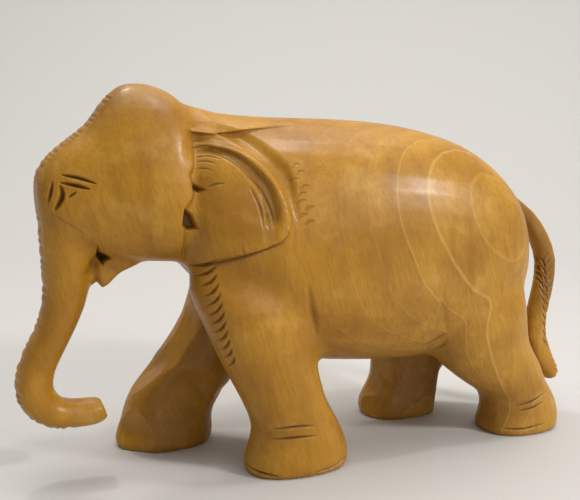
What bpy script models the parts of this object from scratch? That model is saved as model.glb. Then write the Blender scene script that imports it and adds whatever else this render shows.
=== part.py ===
"""Carved wooden elephant, walking, with its trunk hanging down.

The real figure is whittled from one block of wood. Its regions are modelled as separate
closed solids that meet across a hair gap, so each one is a simple form that can be picked,
weighed and collided with on its own. The head points to -X, the figure's left side to -Y.
Stations and outlines are in hundredths of the figure's height, with X counted from a
point over the forelegs. The origin is under the middle of the figure, on the table.
"""

import math

import bmesh
import bpy
from mathutils import Vector

HEIGHT = 0.100  # table to crown of the head, m
GAP = 0.0003  # clearance kept between neighbouring regions, m
BODY_WIDTH = 0.050  # across the belly, m
EAR_RELIEF = 0.0024  # how far an ear stands proud of the neck and shoulder, m

UNIT = HEIGHT / 100.0  # one hundredth of the height
MIDDLE_X = -2.07  # the middle of the whole length, on the stations' X scale
WOOD = (0.45, 0.26, 0.075, 1.0)
WOOD_ROUGHNESS = 0.42
BODY_RING = 40  # points round the torso and the head
LIMB_RING = 28  # points round a leg
SLIM_RING = 20  # points round the trunk and the tail
SHARP_EDGE = math.radians(40)

# Torso and head sections stand across X: (x, lowest z, highest z, half width, taper, power).
# Taper narrows the upper half and widens the lower one; power 2 is an ellipse, more is squarer.
HALF = BODY_WIDTH / UNIT / 2
TORSO = (
    (-41.5, 64.0, 90.0, HALF * 0.26, 0.10, 2.0),
    (-40.5, 56.0, 95.0, HALF * 0.42, 0.22, 2.1),
    (-36.5, 50.5, 94.6, HALF * 0.56, 0.28, 2.2),
    (-29.0, 43.0, 92.4, HALF * 0.72, 0.28, 2.3),
    (-19.0, 33.5, 91.2, HALF * 0.86, 0.24, 2.3),
    (-8.0, 26.5, 90.6, HALF * 0.94, 0.18, 2.3),
    (5.0, 24.0, 89.9, HALF * 0.99, 0.12, 2.3),
    (18.0, 22.8, 88.6, HALF, 0.08, 2.3),
    (30.0, 22.6, 86.3, HALF * 0.98, 0.06, 2.3),
    (42.0, 24.5, 82.2, HALF * 0.93, 0.05, 2.3),
    (50.5, 28.5, 77.0, HALF * 0.85, 0.05, 2.2),
    (56.8, 32.5, 71.4, HALF * 0.70, 0.04, 2.1),
    (60.8, 36.5, 66.4, HALF * 0.48, 0.02, 2.0),
    (62.8, 41.0, 61.5, HALF * 0.26, 0.0, 2.0),
)
HEAD = (
    (-74.9, 70.0, 77.6, 3.2, 0.0, 2.0),
    (-74.0, 64.5, 80.0, 6.2, 0.0, 2.1),
    (-71.0, 61.0, 83.6, 8.8, 0.04, 2.2),
    (-66.0, 59.5, 87.4, 10.9, 0.08, 2.2),
    (-61.5, 58.2, 90.8, 12.4, 0.12, 2.2),
    (-58.0, 57.0, 95.6, 13.4, 0.18, 2.2),
    (-54.0, 56.2, 99.2, 14.4, 0.22, 2.2),
    (-49.0, 55.6, 100.0, 15.3, 0.24, 2.3),
    (-44.0, 55.2, 98.9, 15.8, 0.24, 2.4),
    (-40.0, 55.0, 96.8, 15.4, 0.24, 2.4),
    (-37.2, 56.5, 93.6, 13.0, 0.22, 2.2),
    (-36.2, 61.0, 89.0, 9.0, 0.10, 2.0),
)
# The lower lip's side outline, (x, z), and its half widths.
LIP = ((-61.6, 60.0), (-61.4, 53.0), (-60.9, 49.2), (-58.6, 50.4), (-55.6, 53.2), (-50.0, 55.4), (-50.0, 60.0))
LIP_HALF_WIDTH = 4.6
LIP_BEVEL = 1.1
# Trunk and tail follow a line: (x, y, z, half thickness, half width).
TRUNK = (
    (-67.0, 0.0, 76.0, 6.9, 8.2),
    (-68.0, 0.0, 66.0, 6.8, 8.4),
    (-68.4, 0.0, 57.5, 6.1, 7.6),
    (-68.6, 0.0, 50.0, 5.8, 6.9),
    (-70.4, 0.0, 43.0, 4.9, 6.2),
    (-73.5, 0.0, 36.3, 4.5, 5.7),
    (-76.8, 0.0, 29.8, 4.7, 5.4),
    (-77.4, 0.0, 23.0, 4.8, 5.1),
    (-73.6, 0.0, 18.0, 4.2, 4.8),
    (-67.6, 0.0, 16.7, 3.6, 4.5),
    (-62.4, 0.0, 16.8, 3.4, 4.1),
    (-60.2, 0.0, 17.3, 2.6, 3.3),
)
TAIL = (
    (61.0, 0.0, 64.5, 2.6, 3.6),
    (67.8, 0.0, 59.6, 2.5, 3.2),
    (72.4, -0.3, 53.3, 2.9, 2.9),
    (75.0, -0.8, 46.0, 3.2, 2.8),
    (74.0, -1.6, 38.0, 3.2, 2.8),
    (71.6, -2.6, 30.5, 3.2, 2.9),
    (70.6, -3.6, 23.5, 3.5, 3.1),
    (72.4, -4.6, 17.0, 3.4, 3.2),
    (74.8, -5.4, 12.8, 2.8, 3.0),
    (75.8, -5.8, 10.8, 2.0, 2.2),
)
# Leg sections lie flat: (z, front x, rear x, inner |y|, outer |y|).
LEFT_FORELEG = (
    (0.0, -25.6, 0.2, 6.4, 24.0),
    (1.2, -26.8, 1.4, 5.4, 25.0),
    (5.5, -25.8, 1.2, 5.4, 24.9),
    (11.5, -24.4, -1.2, 5.6, 24.4),
    (19.0, -27.0, -5.0, 4.8, 24.3),
    (29.5, -32.2, -7.4, 3.2, 24.6),
    (40.0, -36.6, -8.2, 2.2, 24.2),
    (49.0, -39.8, -8.8, 2.2, 21.6),
    (58.0, -38.0, -10.0, 3.0, 15.0),
)
RIGHT_FORELEG = (
    (0.0, -53.4, -28.6, 5.4, 22.6),
    (1.2, -54.4, -27.6, 4.4, 23.6),
    (4.0, -54.0, -27.2, 4.4, 23.6),
    (8.0, -52.6, -27.2, 4.8, 23.4),
    (12.5, -51.2, -25.0, 5.0, 23.4),
    (19.0, -47.4, -20.0, 4.2, 23.6),
    (27.0, -40.4, -14.5, 3.2, 24.0),
    (36.0, -34.6, -11.0, 2.4, 24.0),
    (46.0, -32.0, -9.5, 2.2, 22.0),
    (57.0, -30.0, -10.0, 3.0, 15.0),
)
LEFT_HIND_LEG = (
    (0.0, 47.4, 69.8, 3.4, 21.4),
    (1.2, 46.6, 70.7, 2.4, 22.4),
    (6.0, 48.2, 70.4, 2.4, 22.2),
    (10.5, 47.2, 68.5, 2.4, 22.0),
    (14.5, 41.8, 66.0, 2.2, 22.2),
    (20.0, 34.8, 63.6, 1.8, 22.8),
    (27.0, 28.6, 59.4, 1.6, 23.6),
    (36.0, 29.0, 58.2, 1.6, 23.6),
    (46.0, 32.0, 57.0, 2.2, 20.6),
    (54.0, 36.0, 54.0, 4.0, 15.0),
)
RIGHT_HIND_LEG = (
    (0.0, 20.8, 43.8, 3.2, 20.0),
    (1.2, 20.0, 44.6, 2.3, 21.0),
    (4.5, 20.2, 45.0, 2.3, 21.0),
    (8.0, 22.2, 45.6, 2.4, 20.8),
    (12.0, 23.8, 46.4, 2.4, 20.8),
    (19.0, 24.0, 49.4, 2.0, 21.6),
    (27.0, 23.6, 55.0, 1.8, 22.8),
    (36.0, 24.6, 59.2, 1.8, 23.0),
    (46.0, 28.0, 57.0, 2.4, 20.6),
    (54.0, 34.0, 54.0, 4.0, 15.0),
)
# An ear's outline in side view, from its front top corner round to its front bottom one.
EAR = (
    (-39.5, 89.0), (-34.5, 88.4), (-29.0, 86.6), (-24.2, 83.0), (-20.2, 77.6), (-17.6, 71.0),
    (-17.4, 65.0), (-19.2, 61.8), (-24.5, 60.2), (-32.5, 58.2), (-39.5, 56.6),
)
EAR_PRISM_REACH = (9.0, 34.0)  # how far from the middle the prism that cuts an ear out runs


def point(x, y, z):
    """A point given in stations, as metres from the origin."""
    return Vector((x - MIDDLE_X, y, z)) * UNIT


def catmull_rom(rows, steps):
    """The rows with steps - 1 more between each pair, on one smooth curve through them all."""
    found = []
    last = len(rows) - 1
    for i in range(last):
        before, a, b, after = (rows[max(0, min(last, i + k))] for k in (-1, 0, 1, 2))
        for step in range(steps):
            t = step / steps
            found.append(
                tuple(
                    0.5 * (2 * q + (r - p) * t + (2 * p - 5 * q + 4 * r - s) * t**2 + (3 * q - p - 3 * r + s) * t**3)
                    for p, q, r, s in zip(before, a, b, after, strict=True)
                )
            )
    found.append(tuple(rows[last]))
    return found


def ring(centre, across, side, half_across, half_side, count, taper=0.0, power=2.0):
    """Points round one superellipse section."""
    points = []
    for i in range(count):
        angle = 2 * math.pi * i / count
        c, s = math.cos(angle), math.sin(angle)
        u = math.copysign(abs(c) ** (2 / power), c)
        v = math.copysign(abs(s) ** (2 / power), s) * (1 - taper * u)
        points.append(centre + across * (half_across * u) + side * (half_side * v))
    return points


def skin(name, rings):
    """A closed mesh object through rings of equal count, its faces pointing out."""
    bm = bmesh.new()
    loops = [[bm.verts.new(p) for p in points] for points in rings]
    count = len(rings[0])
    for a, b in zip(loops, loops[1:], strict=False):
        for i in range(count):
            j = (i + 1) % count
            bm.faces.new((a[i], a[j], b[j], b[i]))
    bm.faces.new(loops[0])
    bm.faces.new(loops[-1])
    bmesh.ops.recalc_face_normals(bm, faces=bm.faces)
    mesh = bpy.data.meshes.new(name)
    bm.to_mesh(mesh)
    bm.free()
    body = bpy.data.objects.new(name, mesh)
    bpy.context.scene.collection.objects.link(body)
    return body


def cross_sections(name, stations, steps, grow=0.0):
    """A form whose sections stand across X, as the torso and the head are."""
    rings = []
    for x, low, high, half, taper, power in catmull_rom(stations, steps):
        centre = point(x, 0, (low + high) / 2)
        half_height = (high - low) / 2 * UNIT + grow
        rings.append(ring(centre, Vector((0, 0, 1)), Vector((0, 1, 0)), half_height, half * UNIT + grow,
                          BODY_RING, taper, power))
    if grow:
        for end, way in ((0, -1), (-1, 1)):
            rings[end] = [p + Vector((way * grow, 0, 0)) for p in rings[end]]
    return skin(name, rings)


def along_line(name, stations, steps, grow=0.0):
    """A form whose sections stand across a line in the middle plane, as the trunk and the tail are."""
    rows = catmull_rom(stations, steps)
    rings = []
    for i, (x, y, z, thick, wide) in enumerate(rows):
        ahead, behind = rows[min(i + 1, len(rows) - 1)], rows[max(i - 1, 0)]
        run = Vector((ahead[0] - behind[0], 0, ahead[2] - behind[2])).normalized()
        across = Vector((run.z, 0, -run.x))
        rings.append(ring(point(x, y, z), across, Vector((0, 1, 0)), thick * UNIT + grow,
                          wide * UNIT + grow, SLIM_RING, power=2.2))
    return skin(name, rings)


def leg(name, stations, side, steps, grow=0.0):
    """A leg, standing on a flat sole. side is -1 for the left one and 1 for the right one."""
    rings = []
    for z, front, rear, inner, outer in catmull_rom(stations, steps):
        centre = point((front + rear) / 2, side * (inner + outer) / 2, z)
        rings.append(ring(centre, Vector((1, 0, 0)), Vector((0, 1, 0)), (rear - front) / 2 * UNIT + grow,
                          (outer - inner) / 2 * UNIT + grow, LIMB_RING, power=2.35))
    return skin(name, rings)


def prism(name, outline, near, far):
    """An outline in side view, (x, z), pushed from one y to another."""
    return skin(name, [[point(x, y, z) for x, z in outline] for y in (near, far)])


def boolean(body, cutter, operation="DIFFERENCE"):
    cutter.hide_render = True
    cutter.display_type = "WIRE"
    cut = body.modifiers.new(f"{operation.lower()} {cutter.name}", "BOOLEAN")
    cut.operation = operation
    cut.solver = "EXACT"
    cut.object = cutter


def finish(body, wood):
    body.data.materials.append(wood)
    body.data.shade_smooth()
    body.data.set_sharp_from_angle(angle=SHARP_EDGE)


def wood_material():
    wood = bpy.data.materials.new("carved_wood")
    wood.use_nodes = True
    shader = wood.node_tree.nodes["Principled BSDF"]
    shader.inputs["Base Color"].default_value = WOOD
    shader.inputs["Roughness"].default_value = WOOD_ROUGHNESS
    return wood


def lower_lip():
    """The pointed lower lip that hangs behind the trunk, with its edges broken by a bevel."""
    lip = prism("lower_lip", LIP, -LIP_HALF_WIDTH, LIP_HALF_WIDTH)
    bevel = lip.modifiers.new("broken edges", "BEVEL")
    bevel.width = LIP_BEVEL * UNIT
    bevel.segments = 2
    bevel.limit_method = "ANGLE"
    bevel.use_clamp_overlap = True
    return lip


def ear(name, side, torso_skin, cutters):
    """A relief that follows the neck and shoulder: the outline's share of a shell round the torso."""
    inner, outer = EAR_PRISM_REACH
    shell = prism(name, catmull_rom(EAR, 2), side * inner, side * outer)
    boolean(shell, torso_skin, "INTERSECT")
    for cutter in cutters:
        boolean(shell, cutter)
    return shell


def main():
    for old in list(bpy.data.objects):
        bpy.data.objects.remove(old, do_unlink=True)
    wood = wood_material()

    torso = cross_sections("torso", TORSO, 2)
    torso_clear = cross_sections("torso_clearance", TORSO, 2, grow=GAP)
    torso_skin = cross_sections("torso_ear_skin", TORSO, 2, grow=EAR_RELIEF)
    head = cross_sections("head", HEAD, 2)
    head_clear = cross_sections("head_clearance", HEAD, 2, grow=GAP)
    trunk = along_line("trunk", TRUNK, 2)
    trunk_clear = along_line("trunk_clearance", TRUNK, 2, grow=GAP)
    lip = lower_lip()
    tail = along_line("tail", TAIL, 2)
    left_hind = leg("left_hind_leg", LEFT_HIND_LEG, -1, 2)
    left_hind_clear = leg("left_hind_leg_clearance", LEFT_HIND_LEG, -1, 2, grow=GAP)
    legs = [
        leg("left_foreleg", LEFT_FORELEG, -1, 2),
        leg("right_foreleg", RIGHT_FORELEG, 1, 2),
        left_hind,
        leg("right_hind_leg", RIGHT_HIND_LEG, 1, 2),
    ]
    left_fore_clear = leg("left_foreleg_clearance", LEFT_FORELEG, -1, 2, grow=GAP)
    right_fore_clear = leg("right_foreleg_clearance", RIGHT_FORELEG, 1, 2, grow=GAP)
    ears = [
        ear("left_ear", -1, torso_skin, (torso_clear, head_clear, left_fore_clear)),
        ear("right_ear", 1, torso_skin, (torso_clear, head_clear, right_fore_clear)),
    ]

    boolean(head, torso_clear)
    boolean(trunk, head_clear)
    boolean(lip, head_clear)
    boolean(lip, trunk_clear)
    boolean(tail, torso_clear)
    boolean(tail, left_hind_clear)
    for limb in legs:
        boolean(limb, torso_clear)

    for body in (torso, head, trunk, lip, tail, *legs, *ears):
        finish(body, wood)


main()
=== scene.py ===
import math

import bmesh
import bpy
import numpy as np
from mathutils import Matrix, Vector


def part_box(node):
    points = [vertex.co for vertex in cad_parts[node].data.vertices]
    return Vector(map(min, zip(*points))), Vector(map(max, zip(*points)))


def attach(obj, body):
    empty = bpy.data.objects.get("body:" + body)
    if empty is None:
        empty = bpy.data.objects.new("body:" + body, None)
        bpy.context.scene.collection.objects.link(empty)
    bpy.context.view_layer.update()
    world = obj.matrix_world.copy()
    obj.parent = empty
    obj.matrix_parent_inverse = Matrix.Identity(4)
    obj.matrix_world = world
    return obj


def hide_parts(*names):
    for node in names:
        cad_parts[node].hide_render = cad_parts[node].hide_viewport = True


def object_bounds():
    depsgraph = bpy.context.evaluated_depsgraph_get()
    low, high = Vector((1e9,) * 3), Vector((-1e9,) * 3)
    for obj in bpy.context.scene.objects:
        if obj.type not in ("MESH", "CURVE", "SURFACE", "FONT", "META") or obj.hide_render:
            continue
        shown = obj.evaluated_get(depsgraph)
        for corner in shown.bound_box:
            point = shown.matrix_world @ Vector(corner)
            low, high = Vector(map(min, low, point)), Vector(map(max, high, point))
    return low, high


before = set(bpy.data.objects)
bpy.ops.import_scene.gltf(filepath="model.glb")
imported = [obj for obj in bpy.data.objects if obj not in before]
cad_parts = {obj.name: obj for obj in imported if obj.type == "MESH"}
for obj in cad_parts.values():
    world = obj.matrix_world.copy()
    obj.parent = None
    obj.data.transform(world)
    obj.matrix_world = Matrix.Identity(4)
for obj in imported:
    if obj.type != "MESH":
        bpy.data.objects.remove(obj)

import openvdb as vdb
from bpy.props import FloatProperty, FloatVectorProperty, PointerProperty
from mathutils import Vector

bl_info = {
    "name": "Carved Wooden Elephant",
    "version": (1, 0, 0),
    "blender": (4, 5, 0),
    "location": "View3D > Sidebar > Elephant",
    "description": "Blends the regions into one block of wood, carves it and sets it on a stage",
    "category": "Object",
}

CAD_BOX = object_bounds()
MM = 0.001
LEFT, RIGHT = -1, 1  # the way along Y to each side of the figure
SIDES = ((LEFT, "left"), (RIGHT, "right"))
REGIONS = (
    "torso", "head", "lower_lip", "trunk", "left_ear", "right_ear",
    "left_foreleg", "right_foreleg", "left_hind_leg", "right_hind_leg", "tail",
)
BLOCK = "block"


# ---------------------------------------------------------------- sizes and colours a user may change


def length(name, description, default, low, high):
    """A length setting, given in mm."""
    return FloatProperty(
        name=name, description=description, default=default * MM, min=low * MM, max=high * MM,
        unit="LENGTH", precision=5)


def colour(name, description, default):
    """A colour setting."""
    return FloatVectorProperty(
        name=name, description=description, default=default, subtype="COLOR", size=3, min=0, max=1)


def power(name, description, default):
    """A lamp's setting."""
    return FloatProperty(name=name, description=description, default=default, min=0, unit="POWER")


class CarvingSettings(bpy.types.PropertyGroup):
    """Sizes of the blend between regions and of the knife work."""

    cell: length("Cell", "Spacing of the grid the block is blended on", 0.5, 0.3, 1.5)
    limb_fillet: length("Limb fillet", "Radius left by the gouge where legs, neck and body meet", 3.0, 0.5, 6)
    trunk_fillet: length("Trunk fillet", "Radius where the trunk leaves the face", 4.0, 0.5, 6)
    ear_fillet: length("Ear fillet", "Radius where the ears lie on the cheek and the shoulder", 1.8, 0.3, 3)
    fine_fillet: length("Fine fillet", "Radius at the tail's root and behind the lip", 0.7, 0.3, 3)
    cut_depth: length("Cut depth", "How deep a single knife cut goes", 0.75, 0.1, 2)


class WoodSettings(bpy.types.PropertyGroup):
    """Colours and figure of the wood."""

    early: colour("Early wood", "Colour of the wide part of a growth ring", (0.45, 0.213, 0.012))
    late: colour("Late wood", "Colour of the darker part of a growth ring", (0.25, 0.095, 0.004))
    ring_line: colour("Ring line", "Colour of the pale line between two growth rings", (0.66, 0.41, 0.10))
    # This dark colour gives the pores, the lacquer in the cuts and the painted shade in cuts, hollows and on
    # faces turned from the light.
    stain: colour("Stain", "Colour of the lacquer that has gathered in the cuts", (0.055, 0.015, 0.003))
    ring_width: length("Ring width", "Distance between two growth rings", 3.07, 1, 10)


class StageSettings(bpy.types.PropertyGroup):
    """The floor and the light."""

    paper: colour("Paper", "Colour of the floor and the sweep behind the figure", (0.52, 0.50, 0.468))
    key_power: power("Key light", "Power that the overhead lamps share", 3.8)
    fill_power: power("Fill light", "Power of the soft lamp by the camera", 1.8)


# ---------------------------------------------------------------- blending the regions into one block


def node_faces(node):
    """A region's vertex places and triangles, as arrays."""
    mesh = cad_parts[node].data
    mesh.calc_loop_triangles()
    places = np.empty(len(mesh.vertices) * 3, np.float32)
    mesh.vertices.foreach_get("co", places)
    corners = np.empty(len(mesh.loop_triangles) * 3, np.int32)
    mesh.loop_triangles.foreach_get("vertices", corners)
    return places.reshape(-1, 3), corners.reshape(-1, 3).astype(np.uint32)


class Grid:
    """A box of cells round the whole figure, on which distances to surfaces are kept."""

    def __init__(self, cell, margin):
        low, high = (np.array(v) for v in CAD_BOX)
        self.cell = cell
        self.low = np.floor((low - margin) / cell).astype(int)
        self.count = np.ceil((high + margin) / cell).astype(int) - self.low
        self.transform = vdb.createLinearTransform(voxelSize=cell)

    def corner(self):
        return tuple(int(i) for i in self.low)

    def distances(self, places, reach, triangles=None, quads=None):
        """Signed distances from a closed surface, kept out to reach on both sides."""
        faces = {"triangles": triangles} if quads is None else {"quads": quads}
        level = vdb.FloatGrid.createLevelSetFromPolygons(
            places, transform=self.transform, halfWidth=reach / self.cell + 2, **faces)
        field = np.empty(self.count, np.float32)
        level.copyToArray(field, ijk=self.corner())
        return field

    def surface(self, field, offset=0.0):
        """The surface where the distance is offset, as places and quads."""
        level = vdb.FloatGrid(float(field.max()))
        level.transform = self.transform
        level.gridClass = vdb.GridClass.LEVEL_SET
        level.copyFromArray(field, ijk=self.corner(), tolerance=0.0)
        places, quads = level.convertToQuads(isovalue=offset)
        return places, quads

    def rolled(self, fields, radius):
        """The fields' union with a ball of this radius rolled along every inner corner."""
        union = np.minimum.reduce(fields)
        places, quads = self.surface(union, radius)
        return self.distances(places, radius, quads=quads) + radius

    def prism(self, corners):
        """How far each cell is outside a three-cornered prism that runs straight across the figure."""
        x, z = ((self.low[k] + np.arange(self.count[k])) * self.cell for k in (0, 2))
        far = []
        for (x0, z0), (x1, z1) in zip(corners, [*corners[1:], corners[0]]):
            length = math.hypot(x1 - x0, z1 - z0)
            run, rise = x1 - x0, z1 - z0
            far.append((rise * x[:, None] - run * z[None, :] - rise * x0 + run * z0) / length)
        return np.maximum.reduce(far)[:, None, :].astype(np.float32)

    def sample(self, values, places):
        """The values in the cells nearest to the places."""
        cells = np.clip(np.rint(places / self.cell).astype(int) - self.low, 0, self.count - 1)
        return values[cells[:, 0], cells[:, 1], cells[:, 2]]


def edges_of(quads):
    """Every edge of a quad mesh once each way, as two arrays of vertex numbers."""
    ahead = np.roll(quads, -1, axis=1)
    return quads.ravel().astype(np.int64), ahead.ravel().astype(np.int64)


def relax(places, start, end, amount, passes):
    """Moves each vertex towards the middle of its neighbours by its own amount."""
    count = np.maximum(np.bincount(start, minlength=len(places)), 1)
    for _ in range(passes):
        middle = np.stack([
            np.bincount(start, weights=places[end, k], minlength=len(places)) / count for k in range(3)], axis=1)
        places += (middle - places) * amount[:, None]
    return places


def smoothstep(low, high, value):
    """0 up to low, 1 from high on and an even curve between; low may be the larger of the two."""
    t = np.clip((value - low) / (high - low), 0.0, 1.0)
    return t * t * (3 - 2 * t)


def fill_mesh(mesh, places, triangles):
    """Puts places and triangles into an empty mesh."""
    mesh.vertices.add(len(places))
    mesh.vertices.foreach_set("co", places.astype(np.float32).ravel())
    mesh.loops.add(triangles.size)
    mesh.loops.foreach_set("vertex_index", triangles.astype(np.int32).ravel())
    mesh.polygons.add(len(triangles))
    mesh.polygons.foreach_set("loop_start", np.arange(0, triangles.size, 3, dtype=np.int32))
    mesh.update(calc_edges=True)


def vertex_normals(places, triangles):
    """Unit normals of the vertices, from the faces round each."""
    corners = places[triangles]
    face = np.cross(corners[:, 1] - corners[:, 0], corners[:, 2] - corners[:, 0])
    total = np.stack(
        [np.bincount(triangles.ravel(), weights=np.repeat(face[:, k], 3), minlength=len(places))
         for k in range(3)], axis=1)
    return total / np.maximum(np.linalg.norm(total, axis=1, keepdims=True), 1e-15)


def refine(places, triangles, region, wanted):
    """Halves every edge whose two ends are wanted, keeping the mesh closed and the skin round."""
    pairs = np.sort(np.stack([triangles, np.roll(triangles, -1, axis=1)], axis=2).reshape(-1, 2), axis=1)
    edges, which = np.unique(pairs, axis=0, return_inverse=True)
    which = which.reshape(-1, 3)
    split = wanted[edges[:, 0]] & wanted[edges[:, 1]]
    number = np.full(len(edges), -1)
    number[split] = len(places) + np.arange(split.sum())
    ends = edges[split]
    normals = vertex_normals(places, triangles)
    middle = places[ends].mean(axis=1)
    bulge = np.zeros_like(middle)
    for k in range(2):
        normal = normals[ends[:, k]]
        bulge -= 0.5 * np.einsum("ij,ij->i", middle - places[ends[:, k]], normal)[:, None] * normal
    places = np.concatenate([places, middle + 0.75 * bulge])
    region = np.concatenate([region, region[ends[:, 0]]])
    mids = number[which]
    cut = mids >= 0
    made = [triangles[~cut.any(axis=1)]]
    every = cut.all(axis=1)
    (a, b, c), (ab, bc, ca) = triangles[every].T, mids[every].T
    made += [np.stack(t, axis=1) for t in ((a, ab, ca), (ab, b, bc), (ca, bc, c), (ab, bc, ca))]
    for turn in range(3):
        corner, middle = np.roll(triangles, -turn, axis=1), np.roll(mids, -turn, axis=1)
        there = middle >= 0
        one = there[:, 0] & ~there[:, 1] & ~there[:, 2]
        (a, b, c), ab = corner[one].T, middle[one, 0]
        made += [np.stack(t, axis=1) for t in ((a, ab, c), (ab, b, c))]
        two = there[:, 0] & there[:, 1] & ~there[:, 2]
        (a, b, c), ab, bc = corner[two].T, middle[two, 0], middle[two, 1]
        made += [np.stack(t, axis=1) for t in ((ab, b, bc), (a, ab, bc), (a, bc, c))]
    return places, np.concatenate(made), region


def to_path(points, path):
    """How side view points lie to a path: distance, side (1 left of it, -1 right), how far along it,
    and the path's length."""
    best = np.full(len(points), np.inf)
    side = np.zeros(len(points))
    along = np.zeros(len(points))
    done = 0.0
    for (ax, az), (bx, bz) in zip(path, path[1:], strict=False):
        run = np.array([bx - ax, bz - az])
        length = max(float(np.hypot(*run)), 1e-9)
        offset = points - (ax, az)
        t = np.clip(offset @ run / length**2, 0, 1)
        distance = np.linalg.norm(offset - t[:, None] * run, axis=1)
        closer = distance < best
        best[closer] = distance[closer]
        side[closer] = np.sign(run[0] * offset[:, 1] - run[1] * offset[:, 0])[closer]
        along[closer] = (done + t * length)[closer]
        done += length
    return best, side, along, done


def into_shape(points, outline):
    """How far side view points are inside a closed outline; negative outside."""
    closed = [*outline, outline[0]]
    distance, _, _, _ = to_path(points, closed)
    inside = np.zeros(len(points), bool)
    for (ax, az), (bx, bz) in zip(closed, closed[1:], strict=False):
        if az == bz:
            continue
        crosses = (points[:, 1] > min(az, bz)) & (points[:, 1] <= max(az, bz))
        inside ^= crosses & (points[:, 0] < ax + (points[:, 1] - az) * (bx - ax) / (bz - az))
    return np.where(inside, distance, -distance)


def curve_through(points, step=0.4 * MM):
    """A smooth side view path through the points."""
    p = np.array([points[0], *points, points[-1]], float)
    out = []
    for a, b, c, d in zip(p, p[1:], p[2:], p[3:], strict=False):
        count = max(1, round(float(np.hypot(*(c - b))) / step))
        for i in range(count):
            t = i / count
            out.append(tuple(0.5 * (2 * b + (c - a) * t + (2 * a - 5 * b + 4 * c - d) * t**2
                                    + (3 * b - a - 3 * c + d) * t**3)))
    out.append(tuple(points[-1]))
    return out


def within(region, *names):
    """Which vertices belong to the named regions."""
    return np.isin(region, [REGIONS.index(n) for n in names])


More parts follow.
